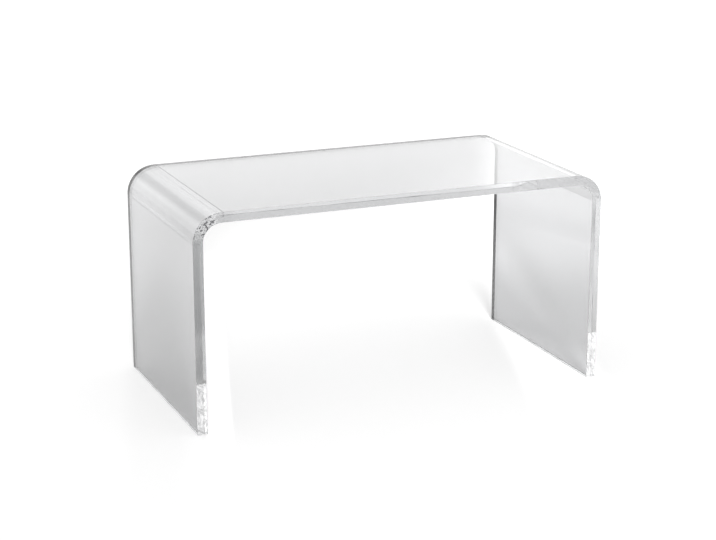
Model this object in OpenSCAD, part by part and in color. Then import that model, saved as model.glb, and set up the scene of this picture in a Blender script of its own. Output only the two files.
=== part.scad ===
// Waterfall side table: one thick clear acrylic sheet, heat-bent down at both ends into legs,
// standing on four small clear pads stuck under its foot edges.
// +X runs along the length, +Y from the front edge to the back edge, +Z up.
// The origin is on the floor, under the centre of the top.

/* [Sheet] */
// Length of the table, over the outer faces of the two legs
table_length = 813; // [500:1:1400]
// Depth of the sheet, from its front edge to its back edge
table_depth = 406; // [200:1:800]
// Height of the sheet, from its foot edges to its top face
sheet_height = 406; // [200:1:700]
// Thickness of the sheet
sheet_thickness = 19; // [15:0.5:30]
// Inside radius of the two bends
bend_radius = 35; // [15:1:100]

/* [Floor pads] */
// Diameter of a pad
pad_diameter = 10; // [6:0.5:13]
// Height of a pad, from the floor to the foot edge
pad_height = 1.5; // [1:0.1:5]
// Width of the bevel round the rim that meets the floor
pad_bevel = 0.3; // [0.1:0.1:0.5]
// Distance from the sheet's front or back edge to the centre of a pad
pad_inset = 30; // [15:1:80]

/* [Hidden] */

$fn = 128;
acrylic_colour = [0.90, 0.92, 0.93, 0.4];
pad_colour = [0.86, 0.87, 0.86, 0.6];

left = -1;
right = 1;
front = -1;
back = 1;

leg_centre_x = table_length / 2 - sheet_thickness / 2;
pad_centre_y = table_depth / 2 - pad_inset;

// How far the cut-out under the arch runs on past the foot edges
run_out = 5;

// Outline of an arch seen from the front: straight sides, a flat top and two rounded upper corners
module arch_outline(half_width, height, radius) {
    translate([-half_width, 0]) square([2 * half_width, height - radius]);
    translate([radius - half_width, 0]) square([2 * (half_width - radius), height]);
    for (side = [left, right])
        translate([side * (half_width - radius), height - radius]) circle(radius);
}

// The whole sheet, in one piece as it is bent from one blank
module bent_sheet() {
    color(acrylic_colour)
        translate([0, 0, pad_height])
            rotate([90, 0, 0])
                linear_extrude(table_depth, center = true)
                    difference() {
                        arch_outline(table_length / 2, sheet_height, bend_radius + sheet_thickness);
                        translate([0, -run_out])
                            arch_outline(
                                table_length / 2 - sheet_thickness,
                                sheet_height - sheet_thickness + run_out,
                                bend_radius
                            );
                    }
}

// A stick-on disc centred under a foot edge, with its lower rim bevelled
module floor_pad(side, end) {
    pad_radius = pad_diameter / 2;
    color(pad_colour)
        translate([side * leg_centre_x, end * pad_centre_y, 0])
            rotate_extrude()
                polygon([
                    [0, 0],
                    [pad_radius - pad_bevel, 0],
                    [pad_radius, pad_bevel],
                    [pad_radius, pad_height],
                    [0, pad_height]
                ]);
}

bent_sheet();
floor_pad(left, front);  // pad_front_left
floor_pad(right, front);  // pad_front_right
floor_pad(left, back);  // pad_back_left
floor_pad(right, back);  // pad_back_right
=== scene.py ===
import math

import bmesh
import bpy
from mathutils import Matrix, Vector


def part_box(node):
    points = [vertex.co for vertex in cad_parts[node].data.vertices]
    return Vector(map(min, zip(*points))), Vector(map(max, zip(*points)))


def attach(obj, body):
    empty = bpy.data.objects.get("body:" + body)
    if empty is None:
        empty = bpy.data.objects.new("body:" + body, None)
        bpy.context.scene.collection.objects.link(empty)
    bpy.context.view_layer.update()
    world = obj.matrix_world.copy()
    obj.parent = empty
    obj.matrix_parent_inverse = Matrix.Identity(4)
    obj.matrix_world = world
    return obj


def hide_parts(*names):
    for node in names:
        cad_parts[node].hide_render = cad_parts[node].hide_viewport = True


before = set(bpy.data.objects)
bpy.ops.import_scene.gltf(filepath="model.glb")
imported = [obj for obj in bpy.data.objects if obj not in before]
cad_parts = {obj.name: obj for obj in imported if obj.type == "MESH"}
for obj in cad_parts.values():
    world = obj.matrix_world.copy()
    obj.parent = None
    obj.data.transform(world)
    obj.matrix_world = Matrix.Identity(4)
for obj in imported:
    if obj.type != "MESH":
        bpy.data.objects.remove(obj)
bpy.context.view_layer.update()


# The bent sheet. One blank of clear cast acrylic, 19 mm thick, is heated along two lines and
# folded down at each end into a leg. Its faces keep the gloss of the casting. Its long edges
# are scraped to a small bevel and flame polished, and its two foot edges are left as sawn.
THICKNESS = 0.019
INSIDE_RADIUS = 0.035
EDGE_BEVEL = 0.0006
BEVEL_SEGMENTS = 3
# A bend turns tightly out of the leg, then opens out to meet the top. These are the degrees that
# it turns in each of the two arcs, and their radii along the middle of the sheet
BEND_ARCS = ((80, 0.0435), (10, 0.066))
# A narrow row of faces beside each bend, so that the flat parts stay optically flat
BEND_MARGIN = 0.0015
# Faces that meet at more than the first angle get a bevel between them, and faces that meet at
# less than the second are shaded as one
SHARP_ANGLE = math.radians(60)
SMOOTH_ANGLE = math.radians(8)
# The broad faces keep the mesh's first material, slot 0
EDGE_SLOT = 1
FOOT_SLOT = 2

sheet_low, sheet_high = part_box("bent_sheet")
# The lines that the bends would turn round if each were one arc. The finish is laid out from them
bend_x = sheet_high.x - (INSIDE_RADIUS + THICKNESS)
bend_z = sheet_high.z - (INSIDE_RADIUS + THICKNESS)

# How far the lines where a bend starts and ends lie from the square corner that it rounds off
leg_reach = THICKNESS / 2
top_reach = THICKNESS / 2
turned = 0.0
for degrees, radius in BEND_ARCS:
    ahead = turned + math.radians(degrees)
    leg_reach += radius * (math.sin(ahead) - math.sin(turned))
    top_reach += radius * (math.cos(turned) - math.cos(ahead))
    turned = ahead
flat_x = sheet_high.x - top_reach
flat_z = sheet_high.z - leg_reach


def pull_rim(mesh, rim, step):
    """Draws the open rim of the sheet out along a straight step."""
    grown = bmesh.ops.extrude_edge_only(mesh, edges=rim)["geom"]
    corners = [part for part in grown if isinstance(part, bmesh.types.BMVert)]
    bmesh.ops.translate(mesh, verts=corners, vec=step)
    return [part for part in grown if isinstance(part, bmesh.types.BMEdge)]


def bend_rim(mesh, rim, heading, arcs):
    """Folds the open rim of the sheet through a right angle, with a row of faces to a degree."""
    for degrees, radius in arcs:
        corners = {corner for edge in rim for corner in edge.verts}
        middle = sum((corner.co for corner in corners), Vector()) / len(corners)
        spun = bmesh.ops.spin(
            mesh,
            geom=[*rim, *corners],
            cent=middle + radius * Vector((math.cos(heading), 0, -math.sin(heading))),
            axis=(0, 1, 0),
            angle=math.radians(degrees),
            steps=degrees,
            use_duplicate=False,
        )["geom_last"]
        rim = [part for part in spun if isinstance(part, bmesh.types.BMEdge)]
        heading += math.radians(degrees)
    return rim


# The sheet is drawn out from its left foot edge, up the leg, round a bend, along and down again
sheet = bmesh.new()
foot = [
    sheet.verts.new((x, y, sheet_low.z))
    for x, y in (
        (sheet_low.x, sheet_low.y),
        (sheet_low.x + THICKNESS, sheet_low.y),
        (sheet_low.x + THICKNESS, sheet_high.y),
        (sheet_low.x, sheet_high.y),
    )
]
rim = [sheet.edges.new((foot[corner - 1], foot[corner])) for corner in range(len(foot))]
leg_height = flat_z - sheet_low.z
for rise in (leg_height - BEND_MARGIN, BEND_MARGIN):
    rim = pull_rim(sheet, rim, Vector((0, 0, rise)))
rim = bend_rim(sheet, rim, 0.0, BEND_ARCS)
for run in (BEND_MARGIN, 2 * (flat_x - BEND_MARGIN), BEND_MARGIN):
    rim = pull_rim(sheet, rim, Vector((run, 0, 0)))
rim = bend_rim(sheet, rim, math.radians(90), BEND_ARCS[::-1])
for drop in (BEND_MARGIN, leg_height - BEND_MARGIN):
    rim = pull_rim(sheet, rim, Vector((0, 0, -drop)))
bmesh.ops.holes_fill(sheet, edges=sheet.edges, sides=len(foot))
bmesh.ops.recalc_face_normals(sheet, faces=sheet.faces)
bmesh.ops.bevel(
    sheet,
    geom=[edge for edge in sheet.edges if edge.calc_face_angle() > SHARP_ANGLE],
    offset=EDGE_BEVEL,
    offset_type="OFFSET",
    segments=BEVEL_SEGMENTS,
    profile=0.5,
    affect="EDGES",
    material=-1,
)
bmesh.ops.recalc_face_normals(sheet, faces=sheet.faces)

for face in sheet.faces:
    near_floor = face.calc_center_median().z < sheet_low.z + EDGE_BEVEL
    faces_down = face.normal.z < -0.5
    faces_sideways = abs(face.normal.y) > 0.1
    if near_floor and faces_down:
        face.material_index = FOOT_SLOT
    elif faces_sideways:
        face.material_index = EDGE_SLOT
    face.smooth = True
for edge in sheet.edges:
    edge.smooth = edge.calc_face_angle() < SMOOTH_ANGLE


def add_to_scene(name, data):
    """Puts a mesh, a lamp or a camera into the scene as an object."""
    added = bpy.data.objects.new(name, data)
    bpy.context.scene.collection.objects.link(added)
    return added


def finish_piece(name, shape):
    """Turns a piece that is being modelled into an object in the scene."""
    mesh = bpy.data.meshes.new(name)
    shape.to_mesh(mesh)
    shape.free()
    return add_to_scene(name, mesh)


acrylic_sheet = finish_piece("acrylic_sheet", sheet)


def join(tree, node, inputs):
    """Feeds a node's inputs, each by its name or number, from sockets or plain values."""
    for name, value in inputs.items():
        if isinstance(value, bpy.types.NodeSocket):
            tree.links.new(value, node.inputs[name])
        else:
            node.inputs[name].default_value = value


def calculate(tree, operation, *values):
    """A Math node's answer, worked out from sockets or plain numbers."""
    node = tree.nodes.new("ShaderNodeMath")
    node.operation = operation
    join(tree, node, dict(enumerate(values)))
    return node.outputs[0]


def distance(tree, value, place):
    """How far a value lies from a place, on either side."""
    return calculate(tree, "ABSOLUTE", calculate(tree, "SUBTRACT", value, place))


def ease(tree, value, low, high, to_low=0.0, to_high=1.0):
    """Turns a value between two limits smoothly into one between two others."""
    node = tree.nodes.new("ShaderNodeMapRange")
    node.interpolation_type = "SMOOTHSTEP"
    limits = {"From Min": low, "From Max": high, "To Min": to_low, "To Max": to_high}
    join(tree, node, {"Value": value, **limits})
    return node.outputs[0]


def noise(tree, place, scale, detail):
    """Noise from 0 to 1, stretched by a scale along each axis, in waves to the metre."""
    stretch = tree.nodes.new("ShaderNodeVectorMath")
    stretch.operation = "MULTIPLY"
    join(tree, stretch, {0: place, 1: scale})
    node = tree.nodes.new("ShaderNodeTexNoise")
    join(tree, node, {"Vector": stretch.outputs[0], "Scale": 1.0, "Detail": detail})
    return node.outputs["Fac"]


def blend(tree, share, first, second):
    """A colour between two others, the second of which takes the given share."""
    node = tree.nodes.new("ShaderNodeMix")
    node.data_type = "RGBA"
    join(tree, node, {0: share, 6: first, 7: second})
    return node.outputs[2]


def place_on_piece(tree):
    """Where a point lies in the table's frame, in metres, whole and along X, Y and Z."""
    place = tree.nodes.new("ShaderNodeTexCoord").outputs["Object"]
    split = tree.nodes.new("ShaderNodeSeparateXYZ")
    join(tree, split, {0: place})
    return place, *split.outputs


# Each pattern of the finish, as its waves to the metre along X, Y and Z and its levels of detail
CASTING_RIPPLE = ((9, 7, 9), 1.0)
BEND_RIPPLE = ((75, 2, 75), 1.0)
CRINKLES = ((200, 60, 200), 2.0)
SMUDGES = ((16, 16, 16), 4.0)
HAIR_SCRATCHES = ((420, 12, 420), 1.0)
CLOUDS = ((5, 5, 5), 2.0)
# The scraper's lines go by the depth into the sheet, the way along the edge and Y
SCRAPER_LINES = ((700, 5, 2), 2.0)
# How far into a bend its marks reach their full strength
BEND_RUN_IN = 0.012
BEND_RIPPLE_SHARE = 0.6
# Where in its noise a smudge or a hair scratch starts and is full, and how dull a scratch is
SMUDGE_LIMITS = (0.5, 0.75)
HAIR_LIMITS = (0.68, 0.78)
HAIR_SHARE = 0.5
# How many times deeper than the scraper's lines the crinkles are
CRINKLE_DEPTH = 200.0
# The left bend was worked hotter than the right one, so its crinkle is stronger, and so are its
# painted dark line and the painted patches and spots on its edges. The first two numbers are
# places along X, and the others the strength of the marks there
HEAT_RANGE = (-0.1, 0.1, 1.0, 0.5)
# The strength of the painted dark line, a painted shade where each bend meets the flat: on the
# top, and on the leg
TOP_PAINTED_LINE = 1.0
LEG_PAINTED_LINE = 0.45
PAINTED_LINE_HALF_WIDTHS = (0.0003, 0.0022)
PAINTED_LINE_SHADE = (0.09, 0.09, 0.095, 1)
# Only the outer face lies this far from the line that a bend turns round
OUTER_FACE = (0.044, 0.046)


def make_finish_and_painted_shade_group():
    """Marks of casting, bending, scraping and handling on clear acrylic, and its painted shade."""
    tree = bpy.data.node_groups.new("acrylic_finish_and_painted_shade", "ShaderNodeTree")
    for name in ("Clear Tint", "Clouded Tint"):
        tree.interface.new_socket(name, in_out="INPUT", socket_type="NodeSocketColor")
    for name in ("Ripple Height", "Scrape Height", "Clean Roughness", "Smudged Roughness"):
        tree.interface.new_socket(name, in_out="INPUT", socket_type="NodeSocketFloat")
    tree.interface.new_socket("Tint", in_out="OUTPUT", socket_type="NodeSocketColor")
    for name in ("Roughness", "Height", "Crinkle"):
        tree.interface.new_socket(name, in_out="OUTPUT", socket_type="NodeSocketFloat")
    given = tree.nodes.new("NodeGroupInput").outputs
    place, x, y, z = place_on_piece(tree)

    # How far a point lies past the lines that the two bends turn round
    from_middle = calculate(tree, "ABSOLUTE", x)
    out = calculate(tree, "MAXIMUM", calculate(tree, "SUBTRACT", from_middle, bend_x), 0.0)
    up = calculate(tree, "MAXIMUM", calculate(tree, "SUBTRACT", z, bend_z), 0.0)
    in_bend = ease(tree, calculate(tree, "MINIMUM", out, up), 0.0, BEND_RUN_IN)
    squares = [calculate(tree, "MULTIPLY", side, side) for side in (out, up)]
    depth = calculate(tree, "SQRT", calculate(tree, "ADD", *squares))
    heat = ease(tree, x, *HEAT_RANGE)

    # Slow waves from the casting, and tighter ones along the softened bends
    folds = calculate(tree, "MULTIPLY", noise(tree, place, *BEND_RIPPLE), in_bend)
    folds = calculate(tree, "MULTIPLY", folds, BEND_RIPPLE_SHARE)
    ripple = calculate(tree, "ADD", noise(tree, place, *CASTING_RIPPLE), folds)
    ripple = calculate(tree, "MULTIPLY", ripple, given["Ripple Height"])

    # Fine lines from the scraper, and the crinkle that heat brings up in a scraped edge
    course = tree.nodes.new("ShaderNodeCombineXYZ")
    join(tree, course, {"X": depth, "Y": calculate(tree, "ADD", x, z), "Z": y})
    lines = noise(tree, course.outputs[0], *SCRAPER_LINES)
    heated = calculate(tree, "MULTIPLY", in_bend, heat)
    crinkle = calculate(tree, "MULTIPLY", noise(tree, place, *CRINKLES), heated)
    scrape = calculate(tree, "MULTIPLY_ADD", crinkle, CRINKLE_DEPTH, lines)
    scrape = calculate(tree, "MULTIPLY", scrape, given["Scrape Height"])

    # Smudges and hair scratches from handling take some of the gloss away
    smudges = ease(tree, noise(tree, place, *SMUDGES), *SMUDGE_LIMITS)
    hairs = ease(tree, noise(tree, place, *HAIR_SCRATCHES), *HAIR_LIMITS)
    worn = calculate(tree, "MAXIMUM", smudges, calculate(tree, "MULTIPLY", hairs, HAIR_SHARE))
    rough = tree.nodes.new("ShaderNodeMix")
    join(tree, rough, {0: worn, 2: given["Clean Roughness"], 3: given["Smudged Roughness"]})

    # A faint painted dark line, a painted shade, on the outer face where each bend meets the flat
    top_painted_line = ease(tree, distance(tree, from_middle, flat_x), *PAINTED_LINE_HALF_WIDTHS, TOP_PAINTED_LINE, 0.0)
    leg_painted_line = ease(tree, distance(tree, z, flat_z), *PAINTED_LINE_HALF_WIDTHS, LEG_PAINTED_LINE, 0.0)
    outside = calculate(tree, "MULTIPLY", ease(tree, depth, *OUTER_FACE), heat)
    painted_line = calculate(tree, "MULTIPLY", calculate(tree, "MAXIMUM", top_painted_line, leg_painted_line), outside)
    clouds = noise(tree, place, *CLOUDS)
    tint = blend(tree, clouds, given["Clear Tint"], given["Clouded Tint"])
    tint = blend(tree, painted_line, tint, PAINTED_LINE_SHADE)

    put_out = tree.nodes.new("NodeGroupOutput")
    height = calculate(tree, "ADD", ripple, scrape)
    join(tree, put_out, {"Tint": tint, "Roughness": rough.outputs[0]})
    join(tree, put_out, {"Height": height, "Crinkle": crinkle})
    return tree


def new_material(name, kind="ShaderNodeBsdfPrincipled"):
    """A node material with one shader joined up to its output."""
    material = bpy.data.materials.new(name)
    material.use_nodes = True
    tree = material.node_tree
    tree.nodes.clear()
    output = tree.nodes.new("ShaderNodeOutputMaterial")
    shader = tree.nodes.new(kind)
    join(tree, output, {"Surface": shader.outputs["BSDF"]})
    return material, tree, shader, output


ACRYLIC_IOR = 1.49
# The grey of the acrylic is a painted shade, far greyer than clear acrylic, for the shade of the
# studio seen through it. The clouds between the two tints are the sheet's own random tone
PAINTED_SHADE_CLEAR_TINT = (0.575, 0.575, 0.585, 1)
PAINTED_SHADE_CLOUDED_TINT = (0.56, 0.565, 0.57, 1)
RIPPLE_HEIGHT = 0.00008
acrylic_finish_and_painted_shade = make_finish_and_painted_shade_group()


def clear_acrylic(name, scrape_height, clean_roughness, smudged_roughness):
    """Clear cast acrylic with its own depth of scraping and its own range of roughness."""
    material, tree, shader, output = new_material(name)
    finish_and_shade = tree.nodes.new("ShaderNodeGroup")
    finish_and_shade.node_tree = acrylic_finish_and_painted_shade
    join(tree, finish_and_shade, {"Clear Tint": PAINTED_SHADE_CLEAR_TINT, "Clouded Tint": PAINTED_SHADE_CLOUDED_TINT})
    join(tree, finish_and_shade, {"Ripple Height": RIPPLE_HEIGHT, "Scrape Height": scrape_height})
    join(tree, finish_and_shade, {"Clean Roughness": clean_roughness, "Smudged Roughness": smudged_roughness})
    relief = tree.nodes.new("ShaderNodeBump")
    join(tree, relief, {"Distance": 1.0, "Height": finish_and_shade.outputs["Height"]})
    join(tree, shader, {"IOR": ACRYLIC_IOR, "Transmission Weight": 1.0})
    join(tree, shader, {"Base Color": finish_and_shade.outputs["Tint"], "Normal": relief.outputs[0]})
    join(tree, shader, {"Roughness": finish_and_shade.outputs["Roughness"]})
    return material, tree, shader, output, finish_and_shade


def put_out_mix(tree, output, share, first, second):
    """Sends a mix of two shaders to the output, the second of which takes the given share."""
    mix = tree.nodes.new("ShaderNodeMixShader")
    join(tree, mix, {0: share, 1: first.outputs[0], 2: second.outputs[0]})
    join(tree, output, {"Surface": mix.outputs[0]})


# Above this reflectance, the acrylic turns a ray back wholly from inside
TRAPPED = 0.99
# A painted shade: the dark matt colour that takes the place of the light mirrored inside
TRAPPED_LIGHT_PAINTED_SHADE = (0.03, 0.03, 0.03, 1)


def paint_shade_over_trapped_light(tree, shader, output, share):
    """Paints shade, a dark matt colour, over a share of the light mirrored back inside an edge."""
    fresnel = tree.nodes.new("ShaderNodeFresnel")
    join(tree, fresnel, {"IOR": ACRYLIC_IOR})
    painted_shade = tree.nodes.new("ShaderNodeBsdfDiffuse")
    join(tree, painted_shade, {"Color": TRAPPED_LIGHT_PAINTED_SHADE})
    trapped = calculate(tree, "GREATER_THAN", fresnel.outputs[0], TRAPPED)
    put_out_mix(tree, output, calculate(tree, "MULTIPLY", trapped, share), shader, painted_shade)


faces = clear_acrylic(
    "clear_acrylic_faces", scrape_height=0.0, clean_roughness=0.004, smudged_roughness=0.02
)[0]

# The long edges. Their tint is a painted shade up the left leg and a painted light low down by
# the feet, and round the bends it follows the crinkle into painted bright patches and dark spots
LEFT_LEG_PAINTED_SHADE = (0.36, 0.365, 0.37, 1)
PAINTED_LIGHT_TINT = (0.72, 0.72, 0.725, 1)
PAINTED_SPOT_SHADE = (0.06, 0.06, 0.065, 1)
# Each range is two places or levels. Between them a share goes from 0 to 1, or from the range's
# third number to its fourth
LEFT_LEG_SHADE_RANGE = (-0.4, -0.3, 1.0, 0.0)
FOOT_PAINTED_LIGHT = (0.085, 0.12, 1.0, 0.0)
PAINTED_BRIGHT_PATCHES = (0.38, 0.46)
PAINTED_DARK_SPOTS = (0.52, 0.56)
# The share of trapped light that an edge paints over with shade, and how much more up on a leg
EDGE_PAINTED_SHADE_SHARE = 0.77
LEG_PAINTED_SHADE_MORE = 0.18
OUT_ON_LEG = (0.34, 0.36)
UP_THE_LEG = (0.05, 0.3)

edges, tree, shader, output, finish_and_shade = clear_acrylic(
    "clear_acrylic_edges", scrape_height=0.000008, clean_roughness=0.01, smudged_roughness=0.04
)
_, x, _, z = place_on_piece(tree)
tint = finish_and_shade.outputs["Tint"]
for colour, value, limits in (
    (LEFT_LEG_PAINTED_SHADE, x, LEFT_LEG_SHADE_RANGE),
    (PAINTED_LIGHT_TINT, z, FOOT_PAINTED_LIGHT),
    (PAINTED_LIGHT_TINT, finish_and_shade.outputs["Crinkle"], PAINTED_BRIGHT_PATCHES),
    (PAINTED_SPOT_SHADE, finish_and_shade.outputs["Crinkle"], PAINTED_DARK_SPOTS),
):
    tint = blend(tree, ease(tree, value, *limits), tint, colour)
join(tree, shader, {"Base Color": tint})
out_on_leg = ease(tree, calculate(tree, "ABSOLUTE", x), *OUT_ON_LEG)
on_leg = calculate(tree, "MULTIPLY", out_on_leg, ease(tree, z, *UP_THE_LEG))
share = calculate(tree, "MULTIPLY_ADD", on_leg, LEG_PAINTED_SHADE_MORE, EDGE_PAINTED_SHADE_SHARE)
paint_shade_over_trapped_light(tree, shader, output, share)

# The foot edges. The saw leaves slanting marks across them, and along the marks shade is painted
# over some of the light mirrored back inside
SAW_SLANT = 0.23
SAW_MARKS = ((260, 20, 0), 2.0)
# Two levels of the marks, and the share of trapped light that the edge paints over with shade at
# each
SAW_MARK_PAINTED_SHADE = (0.38, 0.6, 0.0, 0.4)

feet, tree, shader, output, _ = clear_acrylic(
    "clear_acrylic_feet", scrape_height=0.0, clean_roughness=0.02, smudged_roughness=0.08
)
_, x, y, _ = place_on_piece(tree)
slant = tree.nodes.new("ShaderNodeCombineXYZ")
join(tree, slant, {"X": calculate(tree, "MULTIPLY_ADD", y, SAW_SLANT, x), "Y": y})
saw_marks = noise(tree, slant.outputs[0], *SAW_MARKS)
paint_shade_over_trapped_light(tree, shader, output, ease(tree, saw_marks, *SAW_MARK_PAINTED_SHADE))

for material in (faces, edges, feet):
    acrylic_sheet.data.materials.append(material)
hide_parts("bent_sheet")
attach(acrylic_sheet, "root")


# The floor pads. Each is a small soft disc of clear polyurethane with a rounded rim, on a thin
# film of clear glue, and it is pressed by hand onto a foot edge, near the edge's end.
PAD_RIM = 0.0004
PAD_SEGMENTS = 48
PAD_SMOOTH_ANGLE = math.radians(50)
GLUE_FILM = 0.0001
GLUE_INSET = 0.0006
# The glue stops just short of the acrylic, so that their two faces don't coincide
GLUE_GAP = 0.00002
# Corners nearer than this are merged
WELD_DISTANCE = 0.000005
PAD_IOR = 1.5
PAD_CLEARNESS = 0.8
PAD_TINT = (0.86, 0.87, 0.86, 1)
DUSTY_TINT = (0.76, 0.77, 0.76, 1)
DUST = ((1500, 1500, 1500), 3.0)
DUST_HEIGHT = 0.00003
# Where the dust starts and is full, and the roughness there
DUSTY_ROUGHNESS = (0.3, 0.7, 0.2, 0.35)

pad_rubber, tree, shader, _ = new_material("clear_pad_rubber")
dust = noise(tree, place_on_piece(tree)[0], *DUST)
relief = tree.nodes.new("ShaderNodeBump")
join(tree, relief, {"Distance": 1.0, "Height": calculate(tree, "MULTIPLY", dust, DUST_HEIGHT)})
join(tree, shader, {"IOR": PAD_IOR, "Transmission Weight": PAD_CLEARNESS})
join(tree, shader, {"Base Color": blend(tree, dust, PAD_TINT, DUSTY_TINT)})
join(tree, shader, {"Roughness": ease(tree, dust, *DUSTY_ROUGHNESS), "Normal": relief.outputs[0]})

for node in ("pad_front_left", "pad_front_right", "pad_back_left", "pad_back_right"):
    low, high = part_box(node)
    centre = (low + high) / 2
    radius = (high.x - low.x) / 2
    pad_top = high.z - low.z - GLUE_FILM
    glue_top = pad_top + GLUE_FILM - GLUE_GAP
    pad = bmesh.new()
    outline = [
        pad.verts.new((reach, 0, height))
        for reach, height in (
            (0, 0),
            (radius - PAD_RIM, 0),
            (radius, PAD_RIM),
            (radius, pad_top - PAD_RIM),
            (radius - PAD_RIM, pad_top),
            (radius - GLUE_INSET, pad_top),
            (radius - GLUE_INSET, glue_top),
            (0, glue_top),
        )
    ]
    profile = [pad.edges.new(ends) for ends in zip(outline, outline[1:])]
    bmesh.ops.spin(
        pad,
        geom=[*outline, *profile],
        cent=(0, 0, 0),
        axis=(0, 0, 1),
        angle=math.radians(360),
        steps=PAD_SEGMENTS,
        use_merge=True,
    )
    bmesh.ops.remove_doubles(pad, verts=pad.verts, dist=WELD_DISTANCE)
    bmesh.ops.recalc_face_normals(pad, faces=pad.faces)
    bmesh.ops.translate(pad, verts=pad.verts, vec=(centre.x, centre.y, low.z))
    for face in pad.faces:
        face.smooth = True
    for edge in pad.edges:
        edge.smooth = edge.calc_face_angle() < PAD_SMOOTH_ANGLE
    rubber_pad = finish_piece(f"rubber_{node}", pad)
    rubber_pad.data.materials.append(pad_rubber)
    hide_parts(node)
    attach(rubber_pad, "root")


# The floor: a wide sheet of plain white card that runs out past everything that is seen. Part of
# what the eye sees of it is a glow that lights nothing, painted light that grows brighter towards
# the back, with a painted pool of light behind the table's right end and painted strips of light
# and shade that show through the acrylic.
FLOOR_RADIUS = 40.0
FLOOR_SEGMENTS = 64
CARD_WHITE = (0.96, 0.96, 0.96, 1)
# The share of a glow in what is seen of the card
GLOW_SHARE = 0.25
# Each fade has two distances, then the strength at the first and at the second: of the painted
# glow towards the back, of the painted pool out from its middle, and of the painted strips
# towards their far end
PAINTED_GLOW_TO_BACK = (0.2, 1.2, 1.34, 1.9)
PAINTED_POOL = (0.3, 0.8, 1.1, 0.0)
PAINTED_STRIP_END = (0.6, 1.0, 1.0, 0.0)
PAINTED_POOL_CENTRE = (1.1, 0.85, 0)
# The painted strips run towards the back at this angle from Y
PAINTED_STRIP_TURN = math.radians(17.5)
# Each painted strip's place across the floor, the half widths where its fade starts and ends,
# and the strength that it adds: painted light above 0, painted shade below
PAINTED_STRIPS = ((0.385, 0.03, 0.1, 1.3), (-0.286, 0.016, 0.028, 0.9), (-0.4, 0.03, 0.08, -0.15))

card = bmesh.new()
bmesh.ops.create_circle(card, cap_ends=True, segments=FLOOR_SEGMENTS, radius=FLOOR_RADIUS)
floor = finish_piece("floor", card)


def seen_by_eye(tree):
    """1 where the eye sees a surface straight, mirrored or through the acrylic, 0 in its light."""
    path = tree.nodes.new("ShaderNodeLightPath").outputs
    mirrored = calculate(tree, "MAXIMUM", path["Is Camera Ray"], path["Is Glossy Ray"])
    seen = calculate(tree, "MAXIMUM", mirrored, path["Is Transmission Ray"])
    unscattered = calculate(tree, "LESS_THAN", path["Diffuse Depth"], 0.5)
    return calculate(tree, "MULTIPLY", seen, unscattered)


def measure(tree, operation, place, other):
    """A Vector Math node's number, such as the distance between two places."""
    node = tree.nodes.new("ShaderNodeVectorMath")
    node.operation = operation
    join(tree, node, {0: place, 1: other})
    return node.outputs["Value"]


white_card, tree, paper, output = new_material("white_card", "ShaderNodeBsdfDiffuse")
join(tree, paper, {"Color": CARD_WHITE})
place, _, y, _ = place_on_piece(tree)
painted_pool = ease(tree, measure(tree, "DISTANCE", place, PAINTED_POOL_CENTRE), *PAINTED_POOL)
strength = calculate(tree, "ADD", ease(tree, y, *PAINTED_GLOW_TO_BACK), painted_pool)
strip_side = (math.cos(PAINTED_STRIP_TURN), -math.sin(PAINTED_STRIP_TURN), 0)
across = measure(tree, "DOT_PRODUCT", place, strip_side)
fading = ease(tree, y, *PAINTED_STRIP_END)
for strip_place, core, rim, lift in PAINTED_STRIPS:
    painted_strip = ease(tree, distance(tree, across, strip_place), core, rim, lift, 0.0)
    strength = calculate(tree, "MULTIPLY_ADD", painted_strip, fading, strength)
glow_with_painted_light = tree.nodes.new("ShaderNodeEmission")
join(tree, glow_with_painted_light, {"Strength": strength})
share = calculate(tree, "MULTIPLY", seen_by_eye(tree), GLOW_SHARE)
put_out_mix(tree, output, share, paper, glow_with_painted_light)
floor.data.materials.append(white_card)


# The studio: a white room with soft, even light from all round. What the eye sees of it,
# straight, mirrored or through the acrylic, is painted light and shade that lights nothing: walls
# brighter higher up and to the left, with one bright panel and one dim gap, and dimmer behind the
# camera, so that the acrylic has lines to show.
ROOM_WHITE = (1, 1, 1, 1)
ROOM_LIGHT = 0.5
# Each fade goes between two directions, in parts of a unit vector to the right, away or up, and
# then from one brightness to another
PAINTED_SHADE_BEHIND_CAMERA = (-0.7, -0.2, 0.6, 1.0)
PAINTED_WALL_LIGHT = (0.1, 0.2, 1.0, 1.3)
PAINTED_CEILING_LIGHT = (0.3, 0.42, 0.0, 0.12)
PAINTED_LEFT_WALL_LIGHT = (-0.3, -0.2, 0.5, 0.0)
PAINTED_PANEL_MIDDLE = 0.475
PAINTED_PANEL = (0.02, 0.04, 0.45, 0.0)
GAP_LEFT_SIDE = (-0.3, -0.14)
GAP_RIGHT_SIDE = (-0.07, -0.02, 1.0, 0.0)
PAINTED_GAP_SHADE = -0.3
# The panel and the gap start a little above the horizon
ABOVE_HORIZON = (0.1, 0.14)

world = bpy.data.worlds.new("studio")
bpy.context.scene.world = world
world.use_nodes = True
tree = world.node_tree
tree.nodes.clear()
output = tree.nodes.new("ShaderNodeOutputWorld")
split = tree.nodes.new("ShaderNodeSeparateXYZ")
join(tree, split, {0: tree.nodes.new("ShaderNodeTexCoord").outputs["Generated"]})
side, away, height = split.outputs
above_horizon = ease(tree, height, *ABOVE_HORIZON)
painted_panel = ease(tree, distance(tree, side, PAINTED_PANEL_MIDDLE), *PAINTED_PANEL)
painted_walls = calculate(tree, "ADD", ease(tree, height, *PAINTED_WALL_LIGHT), ease(tree, height, *PAINTED_CEILING_LIGHT))
painted_walls = calculate(tree, "ADD", painted_walls, ease(tree, side, *PAINTED_LEFT_WALL_LIGHT))
painted_walls = calculate(tree, "MULTIPLY_ADD", painted_panel, above_horizon, painted_walls)
gap_sides = [ease(tree, side, *fade) for fade in (GAP_LEFT_SIDE, GAP_RIGHT_SIDE)]
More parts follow.
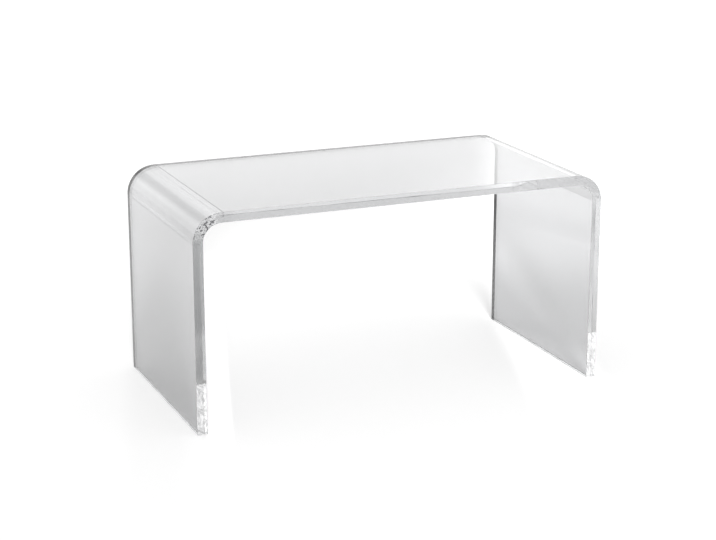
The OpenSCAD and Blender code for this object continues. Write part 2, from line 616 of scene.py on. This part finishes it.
painted_gap = calculate(tree, "MULTIPLY", calculate(tree, "MULTIPLY", *gap_sides), above_horizon)
through_gap = calculate(tree, "MULTIPLY_ADD", painted_gap, PAINTED_GAP_SHADE, 1.0)
strength = calculate(tree, "MULTIPLY", ease(tree, away, *PAINTED_SHADE_BEHIND_CAMERA), painted_walls)
strength = calculate(tree, "MULTIPLY", strength, through_gap)
seen_room = tree.nodes.new("ShaderNodeBackground")
join(tree, seen_room, {"Color": ROOM_WHITE, "Strength": strength})
room_light = tree.nodes.new("ShaderNodeBackground")
join(tree, room_light, {"Color": ROOM_WHITE, "Strength": ROOM_LIGHT})
put_out_mix(tree, output, seen_by_eye(tree), room_light, seen_room)


# The key light: a large soft lamp that stands low behind the camera, so that shadows fall behind
# the legs. The acrylic neither mirrors it nor shows it.
KEY_SPREAD = math.radians(12)
KEY_STRENGTH = 6.4
KEY_AZIMUTH = math.radians(-17.5)
KEY_ELEVATION = math.radians(14.3)


def towards(azimuth, elevation):
    """The unit vector towards a place, by its angles to the right of the front and up."""
    return Vector(
        (
            math.sin(azimuth) * math.cos(elevation),
            -math.cos(azimuth) * math.cos(elevation),
            math.sin(elevation),
        )
    )


key_data = bpy.data.lights.new("key_light", "SUN")
key_data.angle = KEY_SPREAD
key_data.energy = KEY_STRENGTH
key = add_to_scene("key_light", key_data)
key.rotation_mode = "QUATERNION"
key.rotation_quaternion = towards(KEY_AZIMUTH, KEY_ELEVATION).to_track_quat("Z", "Y")
key.visible_transmission = False
key.visible_glossy = False


# The camera stands to the left of the table's middle and looks a little down on it, through a
# long lens. Light runs a long way inside the sheet, from face to face, before it finds an edge.
CAMERA_PLACE = (-1.3309, -3.1157, 1.1922)
CAMERA_AZIMUTH = math.radians(-22.985)
CAMERA_ELEVATION = math.radians(16.182)
CAMERA_LENS = 91.6
CAMERA_SENSOR = 36
LIGHT_BOUNCES = 64

camera_data = bpy.data.cameras.new("camera")
camera_data.sensor_width = CAMERA_SENSOR
camera_data.lens = CAMERA_LENS
camera = add_to_scene("camera", camera_data)
camera.location = CAMERA_PLACE
look = -towards(CAMERA_AZIMUTH, CAMERA_ELEVATION)
camera.rotation_mode = "QUATERNION"
camera.rotation_quaternion = look.to_track_quat("-Z", "Y")
scene = bpy.context.scene
scene.camera = camera
scene.view_settings.view_transform = "Standard"
scene.cycles.max_bounces = LIGHT_BOUNCES
scene.cycles.glossy_bounces = LIGHT_BOUNCES
scene.cycles.transmission_bounces = LIGHT_BOUNCES
